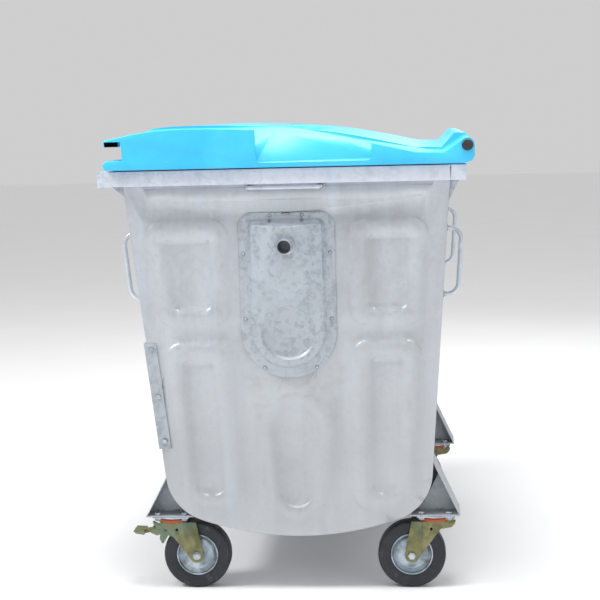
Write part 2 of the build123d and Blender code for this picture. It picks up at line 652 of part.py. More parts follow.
def hook_bar():
    """Right hook bar: a rod bent out of the panel under the rim."""
    root = side_x(HOOK_BAR_Z) - 6
    reach = side_x(HOOK_BAR_Z) + HOOK_BAR_REACH
    half = HOOK_BAR_HALF_LENGTH
    points = [(root, -half, HOOK_BAR_Z), (reach, -half, HOOK_BAR_Z), (reach, half, HOOK_BAR_Z), (root, half, HOOK_BAR_Z)]
    return bent_rod(points, HOOK_BAR_BEND, HOOK_BAR_RADIUS) & side_slab(BAND_HEIGHT, SPAN)


def grab_handle(wall, outward):
    """Grab handle at X = 0 on the wall whose Y is given by height, pointing outward."""
    top = HANDLE_TOP_Z
    low = HANDLE_LOW_Z
    points = [(0, wall(top) - outward * 6, top), (0, wall(top) + outward * HANDLE_REACH, top),
              (0, wall(low) + outward * HANDLE_REACH, low), (0, wall(low) - outward * 6, low)]
    return bent_rod(points, HANDLE_BEND, HANDLE_RADIUS) - along_x(tub_section(), -HANDLE_BEND, HANDLE_BEND)


def guard_bolt_spots():
    """Places of the guard strip's bolts on the guard's plane."""
    return [Pos(front_y(GUARD_TOP_Z - drop) + GUARD_BOLT_INSET - GUARD_PROUD, -drop) for drop in GUARD_BOLT_DROPS]


def corner_guards():
    """Guard strips along both front corners."""
    low = GUARD_LOW_Z - GUARD_TOP_Z
    proud_top = front_y(GUARD_TOP_Z) - GUARD_PROUD
    proud_low = front_y(GUARD_LOW_Z) - GUARD_PROUD
    leg = polygon([(proud_top, 0), (proud_top + GUARD_WIDTH, 0), (proud_low + GUARD_WIDTH, low), (proud_low, low)])
    edge = polygon([(proud_top, 0), (proud_top + GUARD_PROUD, 0), (proud_low + GUARD_PROUD, low), (proud_low, low)])
    strip = standing(GUARD_PLANE, leg, 0, GUARD_SHEET) + standing(GUARD_PLANE, edge, -GUARD_RETURN, 0)
    strip -= along_x(tub_section(), 0, SIDE_RAIL_X) & side_wedge()
    for spot in guard_bolt_spots():
        strip -= standing(GUARD_PLANE, spot * Circle(GUARD_BOLT_RADIUS + SEAT_CLEARANCE), -SHEET, 2 * GUARD_SHEET)
    return [strip, mirrored(strip)]


def hex_bolt(x, y, seat, low, radius):
    """Hexagon bolt along Z: head above its seat, nut around its lower end."""
    across = 1.85 * radius
    head = Pos(x, y, seat) * extrude(RegularPolygon(across, 6), amount=1.3 * radius)
    nut = Pos(x, y, low) * extrude(RegularPolygon(across, 6), amount=1.6 * radius)
    return head + nut + upright(x, y, low - 2, seat + radius, radius)


def frame_bolts():
    """Bolts of the guard strips and of the four casters, with their nuts."""
    solids = []
    for spot in guard_bolt_spots():
        bolt = standing(GUARD_PLANE, spot * RegularPolygon(1.85 * GUARD_BOLT_RADIUS, 6), GUARD_SHEET, GUARD_SHEET + 5)
        bolt += standing(GUARD_PLANE, spot * Circle(GUARD_BOLT_RADIUS), -SHEET - 8, GUARD_SHEET)
        bolt += standing(GUARD_PLANE, spot * RegularPolygon(1.85 * GUARD_BOLT_RADIUS, 6), -SHEET - 6, -SHEET)
        solids += [bolt, mirrored(bolt)]
    for name, x, y, turn in CASTERS:
        for sx, sy in CORNERS:
            bolt_x = x + sx * HOLE_SPACING_X / 2
            bolt_y = y + sy * HOLE_SPACING_Y / 2
            solids.append(hex_bolt(bolt_x, bolt_y, MOUNT_Z + BRACKET_SHEET, PLATE_BOTTOM_Z - 1.6 * BOLT_RADIUS, BOLT_RADIUS))
    return solids


CORNERS = ((-1, -1), (-1, 1), (1, -1), (1, 1))


def bolt_holes(x, y, z0, z1):
    """Clearance holes of one caster's bolts."""
    radius = BOLT_RADIUS + BOLT_CLEARANCE
    return [upright(x + sx * HOLE_SPACING_X / 2, y + sy * HOLE_SPACING_Y / 2, z0, z1, radius) for sx, sy in CORNERS]


def caster_bracket(x, y, outward, apex_rise, web_drop):
    """Bracket with a base, an outer flange up to the tub and a middle web."""
    t = BRACKET_SHEET
    wall = front_y if outward < 0 else rear_y
    corner = y + outward * BRACKET_OUT
    inner = y - outward * BRACKET_IN
    apex_z = MOUNT_Z + apex_rise
    apex = wall(apex_z)
    base = box(x - BRACKET_HALF_X, x + BRACKET_HALF_X, inner, corner, MOUNT_Z, MOUNT_Z + t)
    flange = polygon([(corner, MOUNT_Z), (corner - outward * t, MOUNT_Z + t), (apex - outward * t, apex_z), (apex, apex_z)])
    tip_z = apex_z - web_drop
    tip = apex - outward * t + (corner - apex) * web_drop / apex_rise
    end = tip + WEB_RUN * (wall(tip_z - web_drop) - tip)
    end_z = tip_z - WEB_RUN * web_drop
    web = polygon([(corner - outward * t, MOUNT_Z + t), (tip, tip_z), (end, end_z), (y - outward * BRACKET_IN * 2, end_z),
                   (inner, MOUNT_Z + t)])
    solid = base + along_x(flange, x - BRACKET_HALF_X, x + BRACKET_HALF_X)
    solid += along_x(web, x - t / 2, x + t / 2)
    solid -= along_x(tub_section(), -SPAN, SPAN)
    for hole in bolt_holes(x, y, MOUNT_Z - 1, MOUNT_Z + t + 1):
        solid -= hole
    return solid


def drain_socket():
    """Short threaded socket welded into the bottom."""
    low = BOTTOM_Z - DRAIN_LENGTH
    top = BOTTOM_Z + SHEET
    outside = upright(0, BOTTOM_Y, low, top, DRAIN_RADIUS + DRAIN_WALL)
    return outside - upright(0, BOTTOM_Y, low - 1, top + 1, DRAIN_RADIUS)


def drain_plug():
    """Plug screwed into the drain from below, with a bar to turn it by."""
    low = BOTTOM_Z - DRAIN_LENGTH
    body = upright(0, BOTTOM_Y, low, BOTTOM_Z, DRAIN_RADIUS - PLUG_CLEARANCE)
    flange = upright(0, BOTTOM_Y, low - 5, low, DRAIN_RADIUS + DRAIN_WALL)
    bar = box(-DRAIN_RADIUS + 3, DRAIN_RADIUS - 3, BOTTOM_Y - 4, BOTTOM_Y + 4, low - DRAIN_FLANGE, low - 5)
    return body + flange + bar


def caster_plate():
    """Top plate with the upper race and the kingpin."""
    plate = box(-TOP_PLATE_X / 2, TOP_PLATE_X / 2, -TOP_PLATE_Y / 2, TOP_PLATE_Y / 2, PLATE_BOTTOM_Z, MOUNT_Z)
    plate = fillet(plate.edges().filter_by(Axis.Z), 8)
    for hole in bolt_holes(0, 0, PLATE_BOTTOM_Z - 1, MOUNT_Z + 1):
        plate -= hole
    race_low = CROWN_TOP_Z + SEAL_HEIGHT + RUNNING_GAP
    plate += upright(0, 0, race_low, PLATE_BOTTOM_Z, RACE_RADIUS)
    plate += upright(0, 0, CROWN_LOW_Z - 1, race_low, KINGPIN_RADIUS)
    return plate + Pos(0, 0, CROWN_LOW_Z - 8) * extrude(RegularPolygon(1.6 * KINGPIN_RADIUS, 6), amount=8 - RUNNING_GAP)


def swivel_seal():
    """Ring over the swivel's lower race, on the fork's crown."""
    ring = upright(0, 0, CROWN_TOP_Z, CROWN_TOP_Z + SEAL_HEIGHT, SEAL_RADIUS)
    ring = chamfer(ring.edges().group_by(Axis.Z)[-1], 2)
    return ring - upright(0, 0, CROWN_TOP_Z - 1, CROWN_TOP_Z + SEAL_HEIGHT + 1, KINGPIN_RADIUS + 6)


def leg_outline(braked):
    """Side view of a fork leg in Y and Z, with its horn."""
    top = CROWN_TOP_Z
    eye = AXLE_EYE_RADIUS
    shape = polygon([(-16, top), (-28, top - 3), (-44, top - 2), (-56, top + 5), (-60, top + 3), (-57, top - 8),
                     (-47, top - 18), (-16, top - 23), (TRAIL - 0.8 * eye, AXLE_Z - 0.6 * eye), (TRAIL, AXLE_Z),
                     (TRAIL + eye, AXLE_Z + 2), (TRAIL, top)])
    shape += Pos(TRAIL, AXLE_Z) * Circle(eye)
    if braked:
        ear = Pos(PEDAL_PIVOT_Y, PEDAL_PIVOT_Z) * Circle(12)
        shape += ear + polygon([(PEDAL_PIVOT_Y, PEDAL_PIVOT_Z + 12), (PEDAL_PIVOT_Y, PEDAL_PIVOT_Z - 12),
                                (8, PEDAL_PIVOT_Z - 18), (8, top)])
    return shape


def strip_outline(braked):
    """Side view of the raised strip down a fork leg's trailing edge."""
    eye = AXLE_EYE_RADIUS
    strip = polygon([(TRAIL - 33, CROWN_TOP_Z), (TRAIL, CROWN_TOP_Z), (TRAIL + eye, AXLE_Z + 2), (TRAIL, AXLE_Z),
                     (TRAIL - 27, AXLE_Z - 12)])
    return (strip + Pos(TRAIL, AXLE_Z) * Circle(eye)) & leg_outline(braked)


def caster_fork(braked):
    """Pressed fork: crown, two legs with a raised strip, and horns."""
    outer = LEG_INNER_X + LEG_SHEET
    crown = box(-outer, outer, -36, CROWN_REACH_BACK, CROWN_LOW_Z, CROWN_TOP_Z)
    crown += upright(0, 0, CROWN_LOW_Z, CROWN_TOP_Z, SEAL_RADIUS - 1)
    leg = along_x(leg_outline(braked), LEG_INNER_X, outer) + along_x(strip_outline(braked), LEG_INNER_X, outer + LEG_STRIP)
    leg -= rod_x(0, 2 * LEG_INNER_X, 12, CROWN_TOP_Z - 23, 4)
    leg -= rod_x(0, 2 * LEG_INNER_X, TRAIL, AXLE_Z, AXLE_RADIUS + SEAT_CLEARANCE)
    if braked:
        leg -= rod_x(0, 2 * LEG_INNER_X, PEDAL_PIVOT_Y, PEDAL_PIVOT_Z, PEDAL_PIN_RADIUS + AXLE_CLEARANCE)
    fork = crown + leg + mirrored(leg)
    return fork - upright(0, 0, 0, MOUNT_Z, KINGPIN_RADIUS + AXLE_CLEARANCE)


def axle_bolt():
    """Wheel bolt with its nut and the two spacers beside the hub."""
    seat = LEG_INNER_X + LEG_SHEET + LEG_STRIP
    shaft = rod_x(-seat - 9, seat + 3, TRAIL, AXLE_Z, AXLE_RADIUS)
    head = along_x(Pos(TRAIL, AXLE_Z) * RegularPolygon(11, 6), seat + 1.5, seat + 8.5)
    washer = rod_x(seat, seat + 1.5, TRAIL, AXLE_Z, 12)
    nut = along_x(Pos(TRAIL, AXLE_Z) * RegularPolygon(11, 6), -seat - 9, -seat)
    spacer = rod_x(HUB_HALF_LENGTH + RUNNING_GAP, LEG_INNER_X, TRAIL, AXLE_Z, 10)
    return shaft + head + washer + nut + spacer + mirrored(spacer)


def turned(face):
    """Solid of revolution about the wheel's axle, from a face in X and radius."""
    return Pos(0, TRAIL, AXLE_Z) * revolve(Plane.XZ * face, Axis.X, 360)


def hub_bearings():
    """The two plain bearings pressed into the hub."""
    inner = HUB_HALF_LENGTH - BEARING_WIDTH
    bore = AXLE_RADIUS + AXLE_CLEARANCE
    bearing = turned(polygon([(inner, bore), (HUB_HALF_LENGTH, bore), (HUB_HALF_LENGTH, HUB_BORE_RADIUS),
                              (inner, HUB_BORE_RADIUS)]))
    return [bearing, mirrored(bearing)]


def wheel_rim():
    """Wheel disc with hub and tyre seat."""
    edge = TYRE_WIDTH / 2 - 3
    seat = TYRE_SEAT_RADIUS
    half = [(HUB_HALF_LENGTH, HUB_BORE_RADIUS), (HUB_HALF_LENGTH, HUB_RADIUS), (14, HUB_RADIUS + 1), (11, HUB_RADIUS + 12),
            (9, seat - 16), (14, seat - 6), (edge, seat - 4), (edge, seat)]
    return turned(polygon(half + [(-x, radius) for x, radius in reversed(half)]))


def tyre():
    """Solid tyre with rounded shoulders."""
    half = TYRE_WIDTH / 2
    seat = TYRE_SEAT_RADIUS
    face = polygon([(-half + 3, seat), (half - 3, seat), (half, seat + 4), (half, WHEEL_RADIUS),
                    (-half, WHEEL_RADIUS), (-half, seat + 4)])
    return turned(fillet(face.vertices().group_by(Axis.Y)[-1], TYRE_SHOULDER))


def brake_pedal():
    """Brake pedal with its pin, two arms, a foot pad and the shoe."""
    def piece(points, x0, x1):
        return along_x(polygon([(PEDAL_PIVOT_Y + y, PEDAL_PIVOT_Z + z) for y, z in points]), x0, x1)
    ear = LEG_INNER_X + LEG_SHEET + 4
    arm = piece([(8, 6), (2, 9), (-36, 9), (-44, 3), (-44, -7), (-28, -15), (-16, -13), (-18, -25), (-12, -39), (-7, -39),
                 (1, -25), (8, -6)], PEDAL_ARM_X - 4, PEDAL_ARM_X)
    solid = rod_x(-ear, ear, PEDAL_PIVOT_Y, PEDAL_PIVOT_Z, PEDAL_PIN_RADIUS) + arm + mirrored(arm)
    solid += piece([(-12, -39), (-7, -39), (1, -25), (-4, -22)], -PEDAL_ARM_X, PEDAL_ARM_X)
    solid += piece([(-38, 7.5), (-44, 3), (-44, -7), (-38, -10)], -PEDAL_ARM_X, PEDAL_ARM_X)
    solid += piece([(-42, 3), (-70, -1), (-70, -13), (-42, -8)], -9, 9)
    return solid + piece([(-62, 0), (-94, 2), (-96, -1), (-88, -8), (-64, -12)], -PEDAL_PAD_HALF, PEDAL_PAD_HALF)


def above_rim(points, shift=0.0):
    """Points of the lid with their heights taken from the top of the rim."""
    return [(y, RIM_TOP_Z + rise + shift) for y, rise in points]


def boss_point(angle):
    """Point on the hinge boss at an angle above +Y."""
    return (HINGE_Y + BOSS_RADIUS * cos(radians(angle)), HINGE_Z + BOSS_RADIUS * sin(radians(angle)))


def lid_outline():
    """Side view of the lid's cheek in Y and Z."""
    crown = above_rim(CROWN)
    front = above_rim([(NOSE_Y + 7, NOSE_TOP), (NOSE_Y, NOSE_TOP - 5), (NOSE_Y, GRIP_TOP + 4), (NOSE_Y + 5, GRIP_TOP),
                       (GRIP_BACK_Y, GRIP_TOP), (GRIP_BACK_Y, LIP_TOP), (LIP_Y + 10, LIP_TOP), (LIP_Y, LIP_TOP - 9),
                       (LIP_Y, LID_LOW + 9), (LIP_Y + 7, LID_LOW), (HINGE_Y - 8, LID_LOW),
                       (HINGE_Y + BOSS_RADIUS - 6, LID_LOW + 7), (HINGE_Y + BOSS_RADIUS, BOSS_LOW)])
    boss = ThreePointArc(boss_point(0), boss_point(70), boss_point(140))
    valley = Polyline(boss_point(140), (DIP_Y, RIM_TOP_Z + DIP), crown[-1])
    return make_face([Polyline(crown[0], *front, boss_point(0)), boss, valley, Spline(*reversed(crown))])


def lid_cavity():
    """Side view of the hollow under the lid's crown."""
    t = LID_WALL
    crown = above_rim(CROWN, -t)
    start = (GRIP_BACK_Y + t, crown[0][1] - 6)
    low = RIM_TOP_Z - 20
    dip = RIM_TOP_Z + DIP - t
    lip = RIM_TOP_Z + LIP_TOP - t
    edges = Polyline(crown[0], start, (GRIP_BACK_Y + t, lip), (LIP_Y + t, lip), (LIP_Y + t, low),
                     (CLOSING_RIB_Y, low), (CLOSING_RIB_Y, dip), (DIP_Y, dip), crown[-1])
    return make_face([edges, Spline(*reversed(crown))])


def crown_z(y):
    """Height of the lid's crown at Y, between its given points."""
    points = above_rim(CROWN)
    for (y0, z0), (y1, z1) in zip(points, points[1:]):
        if y0 <= y <= y1:
            return z0 + (z1 - z0) * (y - y0) / (y1 - y0)
    return points[-1][1]


def panel_rise(y):
    """Height of the lid's raised middle above its crown at Y."""
    share = (y - PANEL_FRONT_Y) / (CROWN[-1][0] - PANEL_FRONT_Y)
    return PANEL_RISE_FRONT + share * (PANEL_RISE_REAR - PANEL_RISE_FRONT)


def raised_field(inset):
    """Raised middle of the lid from its front to the hinge, drawn in by inset and closed downward."""
    t = LID_WALL
    front = PANEL_FRONT_Y + inset
    crown = [(front + PANEL_RAMP, crown_z(front + PANEL_RAMP))]
    crown += [(y, z) for y, z in above_rim(CROWN) if y > front + PANEL_RAMP]
    top = Spline(*[(y, z + panel_rise(y) - inset) for y, z in crown])
    valley_z = RIM_TOP_Z + DIP + PANEL_RISE_REAR - inset
    rear = [(DIP_Y - PANEL_RISE_REAR / 2 + inset / 2, valley_z)]
    if inset:
        rear += [(CLOSING_RIB_Y - inset, valley_z), (CLOSING_RIB_Y - inset, valley_z - 3 * t)]
    else:
        rear += [(HINGE_Y - RIDGE_FRONT, HINGE_Z + RIDGE_RISE), (HINGE_Y - RIDGE_BACK, HINGE_Z + RIDGE_RISE),
                 boss_point(35), (HINGE_Y, HINGE_Z), (DIP_Y, RIM_TOP_Z + DIP - t)]
    under = [(y, z - 4 * t) for y, z in reversed(crown)]
    under += [(front, crown_z(front) - t - 2), (front, crown_z(front) - inset)]
    return make_face([top, Polyline(top @ 1, *rear, *under, top @ 0)])


def tunnel_spans():
    """X spans of the hollows along the hinge, between its knuckle walls."""
    stops = [-LID_HALF_LENGTH] + [x + s * NOTCH_HALF for x in HINGE_XS for s in (-1, 1)] + [LID_HALF_LENGTH]
    return [(a + KNUCKLE_WALL, b - KNUCKLE_WALL) for a, b in zip(stops[0::2], stops[1::2])]


def lid():
    """Plastic lid with its grip, hinge knuckles, side recesses and inner ribs."""
    t = LID_WALL
    half = LID_HALF_LENGTH
    field_half = half - PANEL_INSET_X
    inner_half = half - t - SIDE_RECESS_DEPTH
    shell = along_x(lid_outline(), -half, half) + along_x(raised_field(0), -field_half, field_half)
    shell -= along_x(lid_cavity(), -inner_half, inner_half)
    shell -= along_x(raised_field(t), -field_half + t, field_half - t)
    for x in LID_RIB_XS:
        shell += lid_rib(x)
    low = RIM_TOP_Z - 20
    back = HINGE_Y + BOSS_RADIUS - t
    tunnel = polygon([(NOTCH_Y + t, low), (NOTCH_Y + t, RIM_TOP_Z + DIP + 3), (HINGE_Y - 15, HINGE_Z + 2),
                      (back, HINGE_Z), (back, low)])
    tunnel += Pos(HINGE_Y, HINGE_Z) * Circle(BOSS_RADIUS - t)
    for x0, x1 in tunnel_spans():
        shell -= along_x(tunnel, x0, x1)
    for x in HINGE_XS:
        shell -= box(x - NOTCH_HALF, x + NOTCH_HALF, NOTCH_Y, HINGE_Y + 2 * BOSS_RADIUS, low, HINGE_Z + 2 * BOSS_RADIUS)
    shell -= rod_x(-half - 1, half + 1, HINGE_Y, HINGE_Z, ROD_RADIUS + ROD_CLEARANCE)
    for groove in grip_grooves():
        shell -= groove
    corners = [(y, RIM_TOP_Z + rise, radius) for y, rise, radius in SIDE_RECESS]
    recess = along_x(rounded_polygon(corners), half - SIDE_RECESS_DEPTH, half + 1)
    return shell - recess - mirrored(recess)


def lid_rib(x):
    """Stiffening rib under the lid's crown."""
    under = [(y, z + panel_rise(y) - LID_WALL / 2) for y, z in above_rim(CROWN[1:])]
    lower = above_rim(CROWN[1:], -LID_WALL - LID_RIB_HEIGHT)
    return along_x(polygon(under + lower[::-1]), x - LID_RIB / 2, x + LID_RIB / 2)


def grip_grooves():
    """Grooves cut into the underside of the lid's front edge."""
    pitch = (GRIP_BACK_Y - NOSE_Y) / (GRIP_GROOVES + 1)
    low = RIM_TOP_Z + GRIP_TOP
    end = LID_HALF_LENGTH + 1
    half = GRIP_GROOVE_WIDTH / 2
    grooves = []
    for n in range(GRIP_GROOVES):
        middle = NOSE_Y + (n + 1.2) * pitch
        grooves.append(box(-end, end, middle - half, middle + half, low - 1, low + GRIP_GROOVE_DEPTH))
    return grooves


def hinge_brackets():
    """Lugs on the rear rail that carry the hinge rod."""
    front = HINGE_Y - LUG_FRONT
    back = HINGE_Y - LUG_BACK
    lugs = []
    for x in HINGE_XS:
        foot = box(x - LUG_FOOT_HALF, x + LUG_FOOT_HALF, front - 4, back, RIM_TOP_Z, RIM_TOP_Z + LUG_FOOT)
        web = polygon([(front, RIM_TOP_Z), (back, RIM_TOP_Z), (HINGE_Y + 12, HINGE_Z - 8), (HINGE_Y - 12, HINGE_Z + 8)])
        lug = foot + along_x(web + Pos(HINGE_Y, HINGE_Z) * Circle(LUG_EYE_RADIUS), x - LUG_HALF, x + LUG_HALF)
        lugs.append(lug - rod_x(-SPAN, SPAN, HINGE_Y, HINGE_Z, ROD_RADIUS + SEAT_CLEARANCE))
    return lugs


def hinge_rod():
    """Steel rod through the lid's knuckles and the lugs."""
    end = LID_HALF_LENGTH + CAP_GAP + CAP_LENGTH / 2
    return rod_x(-end, end, HINGE_Y, HINGE_Z, ROD_RADIUS)


def hinge_caps():
    """Round caps pressed on the rod's ends."""
    start = LID_HALF_LENGTH + CAP_GAP
    cap = rod_x(start, start + CAP_LENGTH, HINGE_Y, HINGE_Z, CAP_RADIUS)
    cap = chamfer(cap.edges().group_by(Axis.X)[-1], 2.5)
    cap -= rod_x(start - 1, start + CAP_LENGTH / 2, HINGE_Y, HINGE_Z, ROD_RADIUS)
    return [cap, mirrored(cap)]


def tub_parts():
    """Every piece fixed to the tub, by node name."""
    panel = side_panel()
    plate = trunnion_plate()
    tube = trunnion_tube()
    rail = side_rail()
    front_handle = grab_handle(front_y, -1)
    rear_handle = grab_handle(rear_y, 1)
    bar = hook_bar()
    return {
        "mantle_sheet": mantle_sheet(), "side_panel_right": panel, "side_panel_left": mirrored(panel),
        "comb_rail": comb_rail(), "rear_rail": rear_rail(), "side_rail_right": rail, "side_rail_left": mirrored(rail),
        "rim_gussets": rim_gussets(), "trunnion_plate_right": plate, "trunnion_plate_left": mirrored(plate),
        "trunnion_tube_right": tube, "trunnion_tube_left": mirrored(tube), "trunnion_rivets": trunnion_rivets(),
        "hook_bars": [bar, mirrored(bar)],
        "front_handle_right": Pos(HANDLE_X, 0, 0) * front_handle, "front_handle_left": Pos(-HANDLE_X, 0, 0) * front_handle,
        "rear_handle_right": Pos(HANDLE_X, 0, 0) * rear_handle, "rear_handle_left": Pos(-HANDLE_X, 0, 0) * rear_handle,
        "corner_guards": corner_guards(), "frame_bolts": frame_bolts(),
        "drain_socket": drain_socket(), "drain_plug": drain_plug(),
        "hinge_brackets": hinge_brackets(), "hinge_rod": hinge_rod(), "hinge_caps": hinge_caps(),
    }


def caster_parts(name, x, y, turn):
    """One caster with its bracket, by node name."""
    braked = name.startswith("front")
    place = Pos(x, y, 0) * Rot(0, 0, turn)
    pieces = {"caster_plate": caster_plate(), "swivel_seal": swivel_seal(), "caster_fork": caster_fork(braked),
              "axle_bolt": axle_bolt(), "hub_bearings": hub_bearings(), "wheel_rim": wheel_rim(), "tyre": tyre()}
    if braked:
        pieces["brake_pedal"] = brake_pedal()
        bracket = caster_bracket(x, y, -1, FRONT_APEX, FRONT_WEB_DROP)
    else:
        bracket = caster_bracket(x, y, 1, REAR_APEX, REAR_WEB_DROP)
    placed = {f"caster_bracket_{name}": bracket}
    for piece, shape in pieces.items():
        solids = shape if isinstance(shape, list) else [shape]
        placed[f"{piece}_{name}"] = [place * solid for solid in solids]
    return placed


def write(name, shape):
    """Writes one node's solids as a STEP file."""
    parts = shape if isinstance(shape, list) else [shape]
    solids = [solid for part in parts for solid in part.solids()]
    node = solids[0] if len(solids) == 1 else Compound(children=solids)
    export_step(node, f"parts/{name}.step")


def main():
    """Builds and writes every node."""
    nodes = tub_parts()
    for caster in CASTERS:
        nodes.update(caster_parts(*caster))
    nodes["lid"] = lid()
    for name, shape in nodes.items():
        write(name, shape)
    print(len(nodes), "nodes")


main()
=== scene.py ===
"""Dresses the wheeled waste container: finishes, rounded edges, welds, studio and camera."""

import json
import logging
import math
from dataclasses import dataclass, field
from enum import Enum
from typing import Callable

import bmesh
import bpy
from mathutils import Matrix, Vector


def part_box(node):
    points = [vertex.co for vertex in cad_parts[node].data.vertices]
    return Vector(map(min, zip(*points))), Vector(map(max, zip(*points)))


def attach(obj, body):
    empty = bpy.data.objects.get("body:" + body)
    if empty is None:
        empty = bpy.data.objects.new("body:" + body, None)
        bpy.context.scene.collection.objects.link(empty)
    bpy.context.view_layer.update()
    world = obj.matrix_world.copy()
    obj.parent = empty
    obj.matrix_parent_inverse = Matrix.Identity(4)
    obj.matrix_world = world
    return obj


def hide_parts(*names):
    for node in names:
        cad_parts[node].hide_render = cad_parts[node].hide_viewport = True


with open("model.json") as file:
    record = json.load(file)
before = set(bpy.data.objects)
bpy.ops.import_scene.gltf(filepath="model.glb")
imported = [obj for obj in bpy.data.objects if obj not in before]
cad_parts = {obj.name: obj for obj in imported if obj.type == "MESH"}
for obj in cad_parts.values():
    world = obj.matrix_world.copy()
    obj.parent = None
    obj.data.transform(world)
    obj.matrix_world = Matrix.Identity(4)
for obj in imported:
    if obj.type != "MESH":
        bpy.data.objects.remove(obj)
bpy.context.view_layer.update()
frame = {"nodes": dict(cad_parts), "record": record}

log = logging.getLogger("container")
Colour = tuple[float, float, float, float]
Stretch = tuple[float, float, float]

MM = 0.001
SIDES = ("right", "left")
ENDS = ("front", "rear")
CORNERS = ("front_right", "front_left", "rear_right", "rear_left")
NODES: dict[str, bpy.types.Object] = frame["nodes"]
BODIES: dict[str, str] = {node: body for body, nodes in frame["record"]["behaviour"]["bodies"].items()
                          for node in nodes}

# Meshes: the gap that is merged in metres, and angles in degrees.
MERGE_GAP = 0.00001
FLAT_ANGLE = 0.6
SMOOTH_ANGLE = 32
WELD_SMOOTH_ANGLE = 60

# Shaders: the way a pattern is shifted, and the sockets of a Mix node that mixes colours.
UNSTRETCHED: Stretch = (1, 1, 1)
SHIFT_WAY = (1.0, 1.7, 0.6)
ROUNDING_SAMPLES = 6
MIX_FACTOR, MIX_LOW, MIX_HIGH, MIX_RESULT = 0, 6, 7, 2


def paint(red: int, green: int, blue: int) -> Colour:
    """Turns an sRGB colour of 0 to 255 into the linear colour a socket takes.

    Args:
        red: Red, 0 to 255.
        green: Green, 0 to 255.
        blue: Blue, 0 to 255.

    Returns:
        The linear colour with full alpha.
    """
    def linear(level: int) -> float:
        """One channel by the sRGB curve."""
        share = level / 255
        return share / 12.92 if share <= 0.04045 else ((share + 0.055) / 1.055) ** 2.4
    return (linear(red), linear(green), linear(blue), 1.0)


def feed(socket: bpy.types.NodeSocket, item: "Value | float | Colour | Stretch") -> None:
    """Links a value to a socket, or sets what the socket holds.

    Args:
        socket: The socket.
        item: A value to link, or a number, colour or vector to set.
    """
    if isinstance(item, Value):
        item.tree.links.new(item.socket, socket)
    else:
        socket.default_value = item


class Value:
    """A socket of a node tree that takes part in Python arithmetic."""

    def __init__(self, tree: bpy.types.NodeTree, socket: bpy.types.NodeSocket) -> None:
        """Keeps the tree and the socket."""
        self.tree = tree
        self.socket = socket

    def math(self, operation: str, other: "Value | float") -> "Value":
        """Adds a Math node.

        Args:
            operation: The Math node's operation.
            other: The operand after this one.

        Returns:
            The node's result.
        """
        node = self.tree.nodes.new("ShaderNodeMath")
        node.operation = operation
        feed(node.inputs[0], self)
        feed(node.inputs[1], other)
        return Value(self.tree, node.outputs[0])

    def __add__(self, other: "Value | float") -> "Value":
        """Sum."""
        return self.math("ADD", other)

    def __radd__(self, other: float) -> "Value":
        """Sum with the number first."""
        return self.math("ADD", other)

    def __mul__(self, other: "Value | float") -> "Value":
        """Product."""
        return self.math("MULTIPLY", other)

    def __rmul__(self, other: float) -> "Value":
        """Product with the number first."""
        return self.math("MULTIPLY", other)


